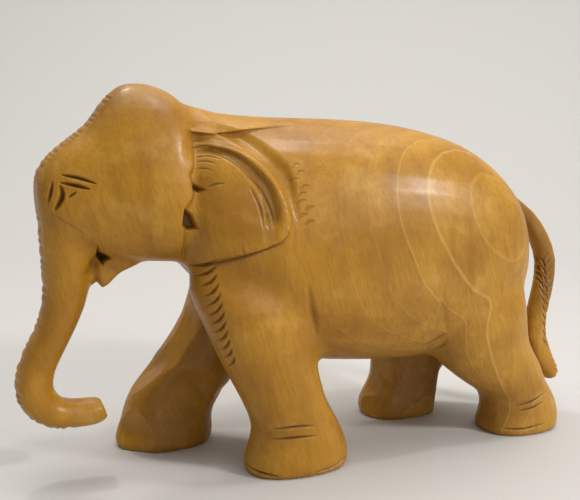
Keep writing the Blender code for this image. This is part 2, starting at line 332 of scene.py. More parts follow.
class Block:
    """The working mesh as arrays: places, unit normals and how much darker each vertex is painted, for lacquer
    held in the cuts and for painted shade in cuts, hollows and on faces turned from the light.
    """

    def __init__(self):
        self.mesh = bpy.data.meshes[BLOCK]
        self.cut_depth = bpy.context.scene.elephant_carving.cut_depth
        self.places = self.read("co", self.mesh.vertices, 3).astype(np.float64)
        self.normals = self.read("vector", self.mesh.vertex_normals, 3).astype(np.float64)
        self.stain = self.read("value", self.mesh.attributes["stain"].data, 1)
        self.region = np.empty(len(self.places), np.int32)
        self.mesh.attributes["region"].data.foreach_get("value", self.region)

    @staticmethod
    def read(name, source, width):
        """One property of every item, width numbers each."""
        values = np.empty(len(source) * width, np.float32)
        source.foreach_get(name, values)
        return values.reshape(-1, width) if width > 1 else values

    def save(self):
        """Puts the places, kept above the floor, and the stain and painted shade back into the mesh."""
        self.places[:, 2] = np.maximum(self.places[:, 2], 0.0)
        self.mesh.vertices.foreach_set("co", self.places.astype(np.float32).ravel())
        self.mesh.attributes["stain"].data.foreach_set("value", self.stain)
        self.mesh.update()

    def pick(self, side, *names, facing=0.12):
        """The vertices of the regions that are on one side of the figure and face that way."""
        chosen = within(self.region, *names) & (side * self.normals[:, 1] > facing)
        if not any(n.startswith(("left", "right")) for n in names):
            chosen &= side * self.places[:, 1] > 0
        return np.flatnonzero(chosen)

    def flat(self, chosen):
        """The chosen vertices as side view points."""
        return self.places[chosen][:, [0, 2]]

    def sink(self, chosen, depth, stain=None, side=0):
        """Pushes the chosen vertices in along their normals, or straight in from one side of the
        figure, and darkens them there: lacquer gathered in the hollow and painted shade."""
        way = np.array((0.0, side, 0.0)) if side else self.normals[chosen]
        self.places[chosen] -= way * np.asarray(depth)[:, None]
        if stain is not None:
            self.stain[chosen] = np.maximum(self.stain[chosen], stain)

    def tint(self, centre, radius, amount):
        """A soft darker patch round a place given in mm."""
        distance = np.linalg.norm((self.places - np.array(centre) * MM) / (radius * MM), axis=1)
        self.stain = np.maximum(self.stain, amount * smoothstep(1.0, 0.25, distance)).astype(np.float32)

    def knife_cut(self, chosen, path, width, share, stain=1.0, lean=0.0, blunt=0.3, side=0):
        """A V cut along a side view path, width in mm across and a share of the cut depth deep. lean
        moves its bottom towards one wall; blunt is how wide its ends stay."""
        width, depth = width * MM, share * self.cut_depth
        points = self.flat(chosen)
        span = np.array(path)
        near = np.all((points > span.min(axis=0) - width) & (points < span.max(axis=0) + width), axis=1)
        chosen, points = chosen[near], points[near]
        if not len(chosen):
            return
        distance, which, along, length = to_path(points, path)
        fade = blunt + (1 - blunt) * np.sin(np.pi * np.clip(along / length, 0.001, 0.999)) ** 0.6
        half = width / 2 * fade
        signed = distance * which
        bottom = lean * half
        wall = np.where(signed > bottom, half - bottom, half + bottom)
        shape = np.clip(1 - np.abs(signed - bottom) / wall, 0, 1)
        # The cut's floor is darkened: lacquer in the cut together with painted shade.
        self.sink(chosen, depth * fade * shape, stain * smoothstep(0.1, 0.8, shape) * fade, side)

    def cuts(self, chosen, node, rows, **more):
        """Knife cuts along smooth side view paths, a row each: points, width and share of the depth."""
        for points, width, share in rows:
            self.knife_cut(chosen, curve_through(path_of(node, points)), width, share, **more)

    def hollow(self, chosen, outline, depth, soft, stain=0.0, side=0):
        """A scooped pit with the side view outline, its walls soft wide."""
        inside = into_shape(self.flat(chosen), outline)
        shape = smoothstep(0, soft, inside)
        self.sink(chosen, depth * shape, stain * smoothstep(0.0, 0.9, shape), side)

    def soften(self, chosen, amount, passes):
        """Evens out the chosen vertices between their neighbours."""
        edges = np.empty(len(self.mesh.edges) * 2, np.int32)
        self.mesh.edges.foreach_get("vertices", edges)
        edges = edges.reshape(-1, 2)
        mask = np.zeros(len(self.places), bool)
        mask[chosen] = True
        edges = edges[mask[edges].any(axis=1)]
        start, end = np.concatenate([edges, edges[:, ::-1]]).T
        self.places = relax(self.places, start, end, np.where(mask, amount, 0.0), passes)

    def flat_stroke(self, chosen, a, b, c, deeper):
        """Slices off what stands proud of the plane through three places, near them only, as one
        stroke of a flat knife does."""
        a, b, c = (np.array(p, float) for p in (a, b, c))
        middle = (a + b + c) / 3
        away = np.linalg.norm(self.places[chosen] - middle, axis=1)
        weight = smoothstep(STROKE_REACH, 0.5 * STROKE_REACH, away)
        normal = np.cross(b - a, c - a)
        normal /= np.linalg.norm(normal)
        if (self.normals[chosen] * weight[:, None]).sum(axis=0) @ normal < 0:
            normal = -normal
        proud = (self.places[chosen] - middle) @ normal + deeper
        self.places[chosen] -= (np.maximum(proud, 0) * weight)[:, None] * normal


def path_of(node, points):
    """Side view points, given in mm behind the node's foremost point and above its lowest."""
    low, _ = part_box(node)
    return [(low[0] + along * MM, low[2] + up * MM) for along, up in points]


# The open notch between the lip and the trunk: its top, then its trunk side and lip side, from the
# lip's box corner.
LIP_NOTCH = ((0.59, 1.9), (-0.95, -1.3), (1.75, -1.3))


class ELEPHANT_OT_rough_out(bpy.types.Operator):
    """Blends the regions into one block of wood with a gouge's fillets between them"""

    bl_idname = "elephant.rough_out"
    bl_label = "Rough Out the Block"

    @staticmethod
    def measure(grid, reach):
        """Distances to every region, which region owns each cell, and how near a seam it is."""
        nearest = np.full(grid.count, np.inf, np.float32)
        second = np.full(grid.count, np.inf, np.float32)
        owner = np.zeros(grid.count, np.int8)
        fields = {}
        for number, name in enumerate(REGIONS):
            places, triangles = node_faces(name)
            field = grid.distances(places, reach, triangles=triangles)
            closer = field < nearest
            second = np.where(closer, nearest, np.minimum(second, field))
            nearest = np.where(closer, field, nearest)
            owner[closer] = number
            fields[name] = field
        return fields, owner, second - nearest

    @staticmethod
    def blend(grid, fields, s):
        """Joins the regions with a fillet of its own at each meeting, and opens the lip's notch."""
        core = ("torso", "head")
        joined = [
            grid.rolled([fields[name] for name in names], radius)
            for names, radius in (
                ((*core, "left_foreleg", "left_hind_leg"), s.limb_fillet),
                ((*core, "right_foreleg", "right_hind_leg"), s.limb_fillet),
                (("head", "trunk"), s.trunk_fillet),
                (("head", "lower_lip"), s.limb_fillet),
                (("head", "lower_lip", "trunk"), 1.25 * s.fine_fillet),
                (("torso", "tail", "left_hind_leg"), s.fine_fillet),
                ((*core, "left_ear", "left_foreleg"), s.ear_fillet),
                ((*core, "right_ear", "right_foreleg"), s.ear_fillet),
            )
        ]
        whole = np.minimum.reduce([*joined, *fields.values()])
        return np.maximum(whole, -grid.prism(path_of("lower_lip", LIP_NOTCH)))

    @staticmethod
    def smooth(places, start, end, region, seam):
        """Evens out the seams, all but the crisp ones, then the whole skin a little."""
        near_seam = np.exp(-((seam / (4 * MM)) ** 2))
        (top_x, top_z), *_ = path_of("lower_lip", LIP_NOTCH)
        from_notch = np.hypot(places[:, 0] - top_x, places[:, 2] - top_z)
        near_seam *= smoothstep(2 * MM, 5 * MM, from_notch)
        crisp = within(region, "left_ear", "right_ear", "tail", "lower_lip")
        amount = np.where(crisp, 0.0, near_seam * smoothstep(3 * MM, 12 * MM, places[:, 2])) * 0.5
        places = relax(places, start, end, amount, 40)
        places = relax(places, start, end, np.full(len(places), 0.5), 3)
        places[np.abs(places[:, 2]) < 0.3 * MM, 2] = 0.0
        places[:, 2] = np.maximum(places[:, 2], 0.0)
        return places

    @staticmethod
    def vote(region, start, end):
        """Lets each vertex take the region that most of its neighbours have, so the seams run even."""
        votes = np.zeros((len(region), len(REGIONS)), np.int16)
        np.add.at(votes, (start, region[end]), 1)
        votes[np.arange(len(region)), region] += 1
        return votes.argmax(axis=1)

    def execute(self, context):
        s = context.scene.elephant_carving
        widest = max(s.limb_fillet, s.trunk_fillet)
        grid = Grid(s.cell, widest + 6 * s.cell)
        fields, owner, seam = self.measure(grid, widest + 2 * s.cell)
        places, quads = grid.surface(self.blend(grid, fields, s))
        places = places.astype(np.float64)
        start, end = edges_of(quads)
        region = grid.sample(owner, places)
        places = self.smooth(places, start, end, region, grid.sample(seam, places))
        for _ in range(4):
            region = self.vote(region, start, end)
        quads = quads[:, ::-1].astype(np.int64)
        triangles = np.concatenate([quads[:, [0, 1, 2]], quads[:, [0, 2, 3]]])
        for wanted in (detailed, very_detailed):
            places, triangles, region = refine(places, triangles, region, wanted(places, region))

        mesh = bpy.data.meshes.new(BLOCK)
        fill_mesh(mesh, places, triangles)
        mesh.attributes.new("stain", "FLOAT", "POINT")
        mesh.attributes.new("region", "INT", "POINT").data.foreach_set("value", region.astype(np.int32))
        block = bpy.data.objects.new(BLOCK, mesh)
        context.scene.collection.objects.link(block)
        mesh.shade_smooth()
        return {"FINISHED"}


def beside(places, node, low, high):
    """Which places lie between two side view corners, in mm from the node's box corner."""
    (x0, z0), (x1, z1) = path_of(node, (low, high))
    return (places[:, 0] > x0) & (places[:, 0] < x1) & (places[:, 2] > z0) & (places[:, 2] < z1)


def detailed(places, region):
    """Where the knife work needs a mesh twice as fine."""
    chosen = within(region, "left_ear", "right_ear", "tail", "trunk", "lower_lip")
    outer = np.abs(places[:, 1]) > 8 * MM
    chosen |= outer & beside(places, "left_ear", (-5, -4), (30, 36))
    chosen |= beside(places, "head", (-2, -2), (14, 28))
    chosen |= beside(places, "head", (10, 20), (24, 46)) & (np.abs(places[:, 1]) < 9 * MM)
    for _, name in SIDES:
        foreleg, hind_leg = f"{name}_foreleg", f"{name}_hind_leg"
        chosen |= within(region, foreleg) & outer & beside(places, foreleg, (-2, 26), (18, 60))
        chosen |= within(region, foreleg) & beside(places, foreleg, (-2, -2), (45, 16))
        chosen |= within(region, hind_leg) & beside(places, hind_leg, (-2, -2), (45, 15))
    return chosen


def very_detailed(places, region):
    """Where it needs one twice as fine again."""
    chosen = beside(places, "head", (1, 12), (14, 25.5)) & (np.abs(places[:, 1]) > 5 * MM)
    return chosen | beside(places, "lower_lip", (-4, 2), (8, 14))


class ELEPHANT_OT_carve_face(bpy.types.Operator):
    """Cuts the eyes and the mouth, with painted shade in the mouth's pit and on the trunk's rear face beside it
    """

    bl_idname = "elephant.carve_face"
    bl_label = "Carve the Face"

    def execute(self, context):
        block = Block()
        for side, _ in SIDES:
            face = block.pick(side, "head", "trunk")
            lid = path_of("head", [
                (4.6, 21.6), (7.6, 21.2), (10.4, 20.6), (7.6, 19.7), (5.6, 18.0), (4.9, 19.3)])
            block.hollow(face, lid, 0.35 * block.cut_depth, 0.8 * MM)
            block.cuts(face, "head", (
                (((5.2, 24.0), (8.8, 23.3), (12.6, 22.0)), 1.2, 1.2),
                (((4.8, 22.2), (7.8, 21.6), (11.2, 20.7)), 1.4, 1.4),
                (((4.8, 21.6), (5.0, 19.4), (4.4, 17.7), (3.2, 15.6)), 1.9, 1.7),
                (((3.3, 22.4), (2.6, 20.0), (1.9, 17.2)), 1.1, 1.1),
                (((6.2, 18.5), (7.0, 19.2), (8.3, 20.1)), 0.8, 0.8),
            ))
            ridge = ((2.6, 14.8), (5.7, 12.0), (10.0, 9.5))
            block.cuts(face, "head", [(ridge, 1.6, 0.3)], stain=0.0, lean=0.8)
        block.save()

        block = Block()
        for side, _ in SIDES:
            jaw = block.pick(side, "head", "lower_lip", "trunk", facing=-0.5)
            # The star pit is darkened in full: painted shade in the deep pit together with the lacquer.
            star = path_of("head", [
                (12.8, 7.6), (14.2, 4.9), (16.6, 3.4), (17.4, 2.2),
                (15.8, 1.6), (15.0, 0.4), (13.9, 1.6), (12.9, 3.2)])
            block.hollow(jaw, star, 3.0 * MM, 1.1 * MM, 1.0, side)
            # The trunk's rear face behind the mouth is darkened a little: painted shade.
            rear = path_of("head", [(13.2, 5.0), (11.2, 2.4), (9.0, -1.6), (12.6, -2.2), (14.6, 1.0)])
            block.hollow(jaw, rear, 0.5 * MM, 1.4 * MM, 0.3, side)
        block.save()
        return {"FINISHED"}


class ELEPHANT_OT_carve_ears(bpy.types.Operator):
    """Shapes both ears: the rim, the channel inside it, the bowl and the folds at the cheek, with painted shade
    in the hollows
    """

    bl_idname = "elephant.carve_ears"
    bl_label = "Carve the Ears"

    def execute(self, context):
        for shape in (self.shape_rim, self.shape_cheek, self.cut_folds):
            block = Block()
            for side, name in SIDES:
                around = block.pick(side, f"{name}_ear", "torso", "head", f"{name}_foreleg", facing=-2.0)
                around = around[side * block.places[around, 1] > 4 * MM]
                shape(block, around, side)
                if shape != self.cut_folds:
                    block.soften(around[beside(block.places[around], "left_ear", (-4, 6), (26, 34))], 0.5, 2)
            block.save()
        return {"FINISHED"}

    @staticmethod
    def shape_rim(block, around, side):
        """Leaves a rim proud along the ear's edge and scoops the channel behind it, with painted shade in the
        valley outside the rim, in the channel and faintly in the bowl.
        """
        rim = curve_through(path_of("left_ear", [
            (0.6, 29.0), (6.1, 28.9), (10.0, 28.1), (13.8, 26.3), (17.3, 23.5), (20.6, 19.8), (22.2, 15.8),
            (22.5, 11.3), (21.4, 6.8)]))
        points = block.flat(around)
        distance, which, along, length = to_path(points, rim)
        t = np.clip(along / length, 0, 1)
        inside = np.where(which < 0, distance, -distance)
        low, high = path_of("left_ear", [(0.0, 0.0), (25.0, 34.0)])
        boxed = smoothstep(low[0] - 0.5 * MM, low[0] + 1.5 * MM, points[:, 0])
        boxed *= smoothstep(high[0] + 1 * MM, high[0] - 1 * MM, points[:, 0])
        boxed *= smoothstep(low[1] + 4 * MM, low[1] + 8 * MM, points[:, 1])
        above = smoothstep(0.0, 0.7 * MM, -inside) * smoothstep(6 * MM, 2.5 * MM, -inside)
        above *= points[:, 1] < high[1]
        above *= smoothstep(1.0, 0.6, t) * (0.4 + 0.6 * smoothstep(0.1, 0.3, t))
        # The valley outside the rim is darkened a little: painted shade.
        block.sink(around, 1.4 * MM * above * boxed, 0.2 * above * boxed, side)
        lip = (0.8 + 1.5 * smoothstep(0.3, 0.8, t)) * MM
        channel = (1.9 + 2.0 * smoothstep(0.1, 0.5, t)) * MM
        across = (inside - lip) / channel
        dip = smoothstep(-0.08, 0.3, across) * (1 - 0.68 * smoothstep(0.75, 1.02, across))
        dip *= smoothstep(18 * MM, 7 * MM, inside) * 0.75 + 0.25
        ends = (smoothstep(1.0, 0.9, t) * 0.7 + 0.3) * (smoothstep(0.0, 0.16, t) * 0.75 + 0.25)
        # The channel's shadowed wall and the bowl, which is turned from the light, are darkened: painted shade.
        dark = smoothstep(0.0, 0.35, across) * smoothstep(1.05, 0.8, across)
        bowl = smoothstep(0.0, 0.5, across) * smoothstep(24 * MM, 16 * MM, inside)
        block.sink(around, 1.5 * MM * dip * boxed * ends, (0.4 * dark * ends + 0.1 * bowl) * boxed, side)

    @staticmethod
    def shape_cheek(block, around, side):
        """Lets the cheek stand proud of the front of the ear and paints shade along the foot of the step."""
        cheek = curve_through(path_of("left_ear", [
            (1.4, 31.6), (0.9, 27.5), (0.5, 23.6), (-0.6, 21.5), (0.3, 18.5), (-0.4, 16.0), (-2.2, 13.5),
            (-2.6, 10.0), (-2.2, 5.0), (-0.8, -1.5)]))
        distance, which, along, length = to_path(block.flat(around), cheek)
        t = along / length
        behind = np.where(which > 0, distance, -distance)
        step = smoothstep(-0.4 * MM, 0.5 * MM, behind) * smoothstep(6.0 * MM, 0.5 * MM, behind)
        ends = smoothstep(0.0, 0.06, t) * smoothstep(1.0, 0.85, t)
        shade = smoothstep(-0.4 * MM, 0.3 * MM, behind) * smoothstep(1.6 * MM, 0.3 * MM, behind)
        # The foot of the step gets painted shade.
        block.sink(around, (0.7 + 0.5 * smoothstep(0.1, 0.3, t)) * MM * step * ends, 0.35 * shade * ends, side)

    @staticmethod
    def cut_folds(block, around, side):
        """Cuts the two deep pits at the cheek, the fine lines in the bowl and the line under the ear, with
        painted shade in the pits and a painted shadow along the line under the ear.
        """
        # The pits are darkened: painted shade with the lacquer.
        for outline, deep in (
            (((-1.1, 22.8), (0.9, 19.6), (4.2, 18.0), (1.6, 16.7), (-0.4, 17.4)), 1.6),
            (((-2.8, 14.6), (-0.2, 12.4), (1.6, 8.3), (-1.6, 7.7), (-3.6, 9.4)), 1.9),
        ):
            block.hollow(around, path_of("left_ear", outline), deep * MM, 1.3 * MM, 0.9, side)
        block.cuts(around, "left_ear", (
            (((13.4, 18.6), (15.2, 13.4), (15.6, 8.2)), 0.8, 0.5),
            (((14.9, 18.9), (16.7, 13.2), (17.0, 8.0)), 0.8, 0.45),
            (((12.2, 22.2), (15.6, 18.4), (17.9, 13.0), (18.3, 8.6)), 0.9, 0.6),
            (((1.2, 27.8), (4.6, 28.3), (7.6, 27.7)), 0.7, 0.5),
            (((1.3, 26.6), (5.0, 27.1), (8.3, 26.3)), 0.7, 0.5),
            (((1.2, 25.5), (4.6, 25.9), (7.6, 25.2)), 0.7, 0.45),
            (((1.2, 24.4), (4.0, 24.7), (6.4, 24.1)), 0.7, 0.4),
            (((1.0, 22.9), (3.4, 23.0), (5.0, 22.6)), 0.7, 0.35),
            (((3.4, 18.6), (5.6, 19.4), (7.4, 19.5)), 0.9, 0.6),
            (((10.2, 5.0), (10.6, 3.0), (11.8, 0.9)), 0.5, 0.2),
            (((-2.4, 7.4), (-2.5, 4.0), (-2.3, 1.6)), 0.8, 0.6),
        ), stain=0.6, side=side)
        # The line under the ear is darkened as the shadow under the ear's edge: painted shadow.
        under = ((-0.6, -1.4), (6.3, 0.0), (12.0, 1.8), (18.0, 4.3), (20.4, 5.6), (22.8, 8.6))
        block.cuts(around, "left_ear", [(under, 1.5, 0.8)], stain=0.9, lean=0.5, side=side)
        for i in range(9):
            x = 24.6 + 1.1 * math.sin(2.4 * i) + 0.15 * i
            z = 22.0 - 1.7 * i
            nick = path_of("left_ear", [(x, z), (x + 1.6, z + 1.2), (x + 2.8, z + 1.4)])
            block.knife_cut(around, nick, 1.1, 0.4, 0.25, 0.4, side=side)


# Darker patches in the wood: middle and radius in mm, and how dark each is. The first two are on top
# of the head, the next two make a knot in the right hind leg and the last is on the right foreleg.
DARK_PATCHES = (
    ((-49.0, -7.0, 97.0), 14.0, 0.34),
    ((-47.0, -14.0, 88.0), 11.0, 0.16),
    ((36.0, 2.4, 5.5), 3.2, 0.45),
    ((38.5, 2.6, 9.0), 4.0, 0.22),
    ((-38.0, 5.0, 13.5), 3.6, 0.14),
)


class ELEPHANT_OT_carve_body(bpy.types.Operator):
    """Scoops the hollow under the back's edge, with painted shade in it, and cuts the folds of the flank"""

    bl_idname = "elephant.carve_body"
    bl_label = "Carve the Body"

    def execute(self, context):
        block = Block()
        for centre, radius, amount in DARK_PATCHES:
            block.tint(centre, radius, amount)
        edge = curve_through(path_of("torso", [
            (1.2, 66.6), (4.6, 65.6), (12.2, 65.1), (19.8, 65.9), (27.4, 66.4), (34.8, 67.0), (44.0, 67.6)]))
        for side, name in SIDES:
            back = block.pick(side, "torso", "head", f"{name}_ear", facing=0.05)
            distance, which, along, length = to_path(block.flat(back), edge)
            t = along / length
            below = np.where(which < 0, distance, -distance)
            scoop = smoothstep(-0.3 * MM, 0.35 * MM, below) * smoothstep(9 * MM, 0.5 * MM, below)
            fade = smoothstep(0.0, 0.1, t) * smoothstep(1.0, 0.25, t)
            # The hollow under the back's edge is darkened: painted shade.
            block.sink(back, 1.6 * MM * scoop * fade, 0.3 * scoop * fade, side)
            haunch = block.pick(side, "torso", f"{name}_hind_leg", f"{name}_foreleg", facing=0.0)
            for stain, *row in (
                (0.6, ((65.4, 6.0), (68.0, 8.4), (71.0, 10.4)), 1.1, 0.8),
                (0.5, ((69.4, 4.4), (70.8, 6.2), (71.6, 8.2)), 0.9, 0.6),
                (0.1, ((67.0, 26.0), (67.4, 19.0), (70.8, 11.0)), 3.0, 0.5),
                (0.2, ((28.7, 27.6), (30.0, 21.5), (32.3, 14.0)), 2.6, 0.9),
            ):
                block.cuts(haunch, "torso", [row], stain=stain)
        block.save()
        return {"FINISHED"}


# The scallops down the brow and then the trunk: how far down the first kind reaches, and how long
# one of each kind is.
BROW_LENGTH = 38 * MM
BROW_SCALLOP = 1.6 * MM
TRUNK_SCALLOP = 2.5 * MM


class ELEPHANT_OT_carve_trunk(bpy.types.Operator):
    """Scallops the front edge of the brow and the trunk"""

    bl_idname = "elephant.carve_trunk"
    bl_label = "Carve the Trunk"

    def execute(self, context):
        block = Block()
        front = curve_through([
            *path_of("head", [(18.0, 43.0), (13.0, 37.0), (6.5, 30.5), (1.6, 24.5), (0.3, 18.0), (1.0, 8.0)]),
            *path_of("trunk", [
                (8.2, 37.0), (6.4, 27.0), (2.0, 17.0), (0.4, 9.5), (2.6, 3.6), (8.0, 0.6), (14.0, 0.4)])])
        chosen = np.flatnonzero(within(block.region, "head", "trunk"))
        distance, _, along, length = to_path(block.flat(chosen), front)
        out = np.array(front)
        tangent = np.gradient(out, axis=0)
        tangent /= np.linalg.norm(tangent, axis=1, keepdims=True)
        index = np.clip((along / length * (len(out) - 1)).astype(int), 0, len(out) - 1)
        outward = np.stack([tangent[index, 1], -tangent[index, 0]], axis=1)
        facing = np.einsum("ij,ij->i", block.normals[chosen][:, [0, 2]], outward)
        weight = smoothstep(0.2, 0.6, facing) * smoothstep(5 * MM, 2.5 * MM, distance)
        weight *= smoothstep(4.0 * MM, 2.4 * MM, np.abs(block.places[chosen, 1]))
        wobble = 0.25 * np.sin(along / MM * 0.9) + 0.2 * np.sin(along / MM * 0.37 + 1.0)
        turn = wobble + np.where(
            along < BROW_LENGTH, along / BROW_SCALLOP,
            BROW_LENGTH / BROW_SCALLOP + (along - BROW_LENGTH) / TRUNK_SCALLOP)
        notch = (1 - np.abs(np.sin(np.pi * turn))) * (0.75 + 0.25 * np.sin(1.7 * turn))
        trunk = smoothstep(30 * MM, 45 * MM, along)
        # The notches are darkened a little: lacquer in them together with painted shade.
        block.sink(chosen, (0.36 + 0.08 * trunk) * MM * notch * weight, 0.3 * notch * weight)
        block.save()
        return {"FINISHED"}


# Where the knife's flat strokes cross the legs' inner faces: how much deeper than the skin they go
# and three corners each, in mm behind the leg's foremost point, out from its inner face and up
# from the floor.
INNER_STROKES = {
    "foreleg": (
        (0.0, ((11.0, 3.9, 20.0), (25.3, 5.1, 18.0), (16.3, 2.9, 4.0))),
        (0.0, ((27.0, 6.1, 12.0), (23.4, 4.6, 1.2), (28.6, 9.5, 6.0))),
        (0.4, ((19.8, 9.6, 35.9), (17.2, 4.2, 28.2), (14.0, 10.0, 26.9))),
        (0.4, ((10.9, 6.1, 21.8), (6.2, 8.9, 17.3), (5.2, 13.4, 16.0))),
        (0.4, ((5.1, 5.5, 10.8), (8.2, 2.8, 5.1), (2.5, 9.6, 9.8))),
    ),
    "hind_leg": (
        (0.0, ((8.0, 1.0, 12.0), (20.0, 1.2, 12.5), (14.0, 0.5, 2.0))),
        (0.2, ((21.8, 2.0, 10.5), (21.0, 2.5, 1.3), (23.0, 5.6, 6.0))),
        (0.5, ((6.4, 3.4, 18.9), (5.2, 4.8, 13.0), (3.4, 10.3, 10.3))),
        (0.5, ((5.2, 2.7, 7.4), (2.4, 4.0, 2.1), (1.1, 9.0, 5.9))),
    ),
}
STROKE_REACH = 11 * MM  # from the middle of a flat stroke
# How dark the inner faces of the legs are painted: painted shade, as they are turned from the light.
INNER_PAINTED_SHADE = 0.3


NOTCHES = 12  # down the front edge of each foreleg


class ELEPHANT_OT_carve_legs(bpy.types.Operator):
    """Cuts the notches down the forelegs, the toe lines and the flat strokes on the inner faces, and paints
    shade on the inner faces
    """

    bl_idname = "elephant.carve_legs"
    bl_label = "Carve the Legs"

    def slice_faces(self):
        """Paints shade on the inner faces of the legs, low down where they are turned from the light, and leaves
        the knife's flat strokes on the right ones.
        """
        block = Block()
        for part, strokes in INNER_STROKES.items():
            leg = np.flatnonzero(within(block.region, f"right_{part}"))
            low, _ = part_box(f"right_{part}")
            for deeper, corners in strokes:
                a, b, c = ((low[0] + x * MM, low[1] + y * MM, z * MM) for x, y, z in corners)
                block.flat_stroke(leg, a, b, c, deeper * MM)
        block.save()
        block = Block()
        for side, name in SIDES:
            for part in INNER_STROKES:
                leg = np.flatnonzero(within(block.region, f"{name}_{part}"))
                _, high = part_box(f"{name}_{part}")
                # Painted shade on the inner faces, strongest low down.
                turned = smoothstep(0.58, 0.8, -side * block.normals[leg, 1])
                low_down = smoothstep(high[2] + 4 * MM, high[2] - 12 * MM, block.places[leg, 2])
                block.stain[leg] = np.maximum(block.stain[leg], INNER_PAINTED_SHADE * turned * low_down)
        block.save()

    def execute(self, context):
        self.slice_faces()
        block = Block()
        for side, name in SIDES:
            leg = f"{name}_foreleg"
            shin = block.pick(side, leg, "torso", f"{name}_ear", facing=-0.1)
            shin = shin[side * block.places[shin, 1] > 4 * MM]
            for t in np.arange(NOTCHES) / (NOTCHES - 1):
                x, z = 0.9 + 6.8 * t**1.6, 55.4 - 25.4 * t
                reach, rise = 5.6 - 2.0 * t, math.radians(22 + 56 * t**0.8)
                tip = (x + reach * math.cos(rise), z + reach * math.sin(rise))
                bend = (0.5 * (x + tip[0]) + 0.25, 0.5 * (z + tip[1]) - 0.3)
                cut = curve_through(path_of(leg, [(x, z), bend, tip]))
                block.knife_cut(shin, cut, 1.05 - 0.3 * t, 1.0 - 0.3 * t, stain=0.9, lean=0.4, blunt=0.15)
            for foot, lines in (
                (leg, (
                    (((18.3, 13.7), (23.0, 14.1), (28.4, 13.8)), 0.9, 1.0),
                    (((18.0, 10.8), (23.0, 11.2), (28.9, 11.0)), 0.9, 1.0),
                    (((13.0, 2.3), (15.0, 1.9), (18.9, 1.2)), 0.84, 1.0),
                    (((29.0, 1.2), (34.6, 1.6), (38.4, 3.0)), 0.84, 1.0),
                )),
                (f"{name}_hind_leg", (
                    (((23.7, 9.3), (27.6, 10.1), (33.0, 12.0)), 0.75, 1.0),
                    (((24.6, 7.7), (28.4, 8.3), (32.2, 9.7)), 0.75, 1.0),
                    (((20.5, 2.4), (26.2, 2.4), (32.8, 3.2)), 0.7, 1.0),
                )),
            ):
                block.cuts(block.pick(side, foot, facing=0.0), foot, lines)
        block.save()
        return {"FINISHED"}


class ELEPHANT_OT_carve_tail(bpy.types.Operator):
    """Paints shade on the upper part of the tail's flat sides, where the rump shadows them, and cuts the hair at
    its end
    """

    bl_idname = "elephant.carve_tail"
    bl_label = "Carve the Tail"

    def execute(self, context):
        block = Block()
        (_, low), (_, high) = path_of("tail", [(0.0, 14.0), (0.0, 30.0)])
        for side, _ in SIDES:
            tail = np.flatnonzero(within(block.region, "tail") & (side * block.normals[:, 1] > 0.1))
            turned = smoothstep(0.45, 0.85, side * block.normals[tail, 1])
            upper = smoothstep(low, high, block.places[tail, 2])
            # The upper flat sides are darkened: painted shadow from the rump.
            block.stain[tail] = np.maximum(block.stain[tail], 0.42 * turned * upper)
            for i in range(22):
                z = 38.5 - 1.25 * i
                x = 9.4 + 1.0 * math.sin(0.09 * (38.5 - z)) + (1.3 if i % 2 else 0.0)
                cut = path_of("tail", [(x, z), (x + 0.9, z - 1.6), (x + 1.2, z - 3.0)])
                block.knife_cut(tail, cut, 0.7, 0.6, stain=0.8)
                cut = path_of("tail", [(x + 3.6, z + 0.6), (x + 2.4, z - 1.0), (x + 1.9, z - 2.2)])
                block.knife_cut(tail, cut, 0.7, 0.55, stain=0.7)
            for i in range(7):
                z = 12.5 - 1.8 * i
                cut = path_of("tail", [(17.4, z + 0.9), (15.4, z), (13.6, z - 0.2)])
                block.knife_cut(tail, cut, 1.0, 0.8, stain=0.5)
        block.save()
        return {"FINISHED"}


def close_holes(places, normals, triangles, inset):
    """Closes every open edge loop with a wall that goes down into the wood and a fan across it."""
    pairs = np.stack([triangles, np.roll(triangles, -1, axis=1)], axis=2).reshape(-1, 2)
    known = set(map(tuple, pairs.tolist()))
    after = {}
    for a, b in pairs.tolist():
        if (b, a) not in known:
            after.setdefault(b, []).append(a)
    added, faces, count = [], [], len(places)
    while after:
        first = next(iter(after))
        loop, here = [], first
        while True:
            loop.append(here)
            ways = after[here]
            ahead = ways.pop()
            if not ways:
                del after[here]
            here = ahead
            if here == first:
                break
        sunk = places[loop] - inset * normals[loop]
        ring = [count + i for i in range(len(loop))]
        middle = count + len(loop)
        added += [sunk, sunk.mean(axis=0, keepdims=True)]
        count += len(loop) + 1
        for i in range(len(loop)):
            j = (i + 1) % len(loop)
            faces += [(loop[i], loop[j], ring[j]), (loop[i], ring[j], ring[i]), (ring[i], ring[j], middle)]
    if not faces:
        return places, triangles
    return np.concatenate([places, *added]), np.concatenate([triangles, faces])


WALL = 2.5 * MM  # how deep a piece's wall goes into the wood at a seam


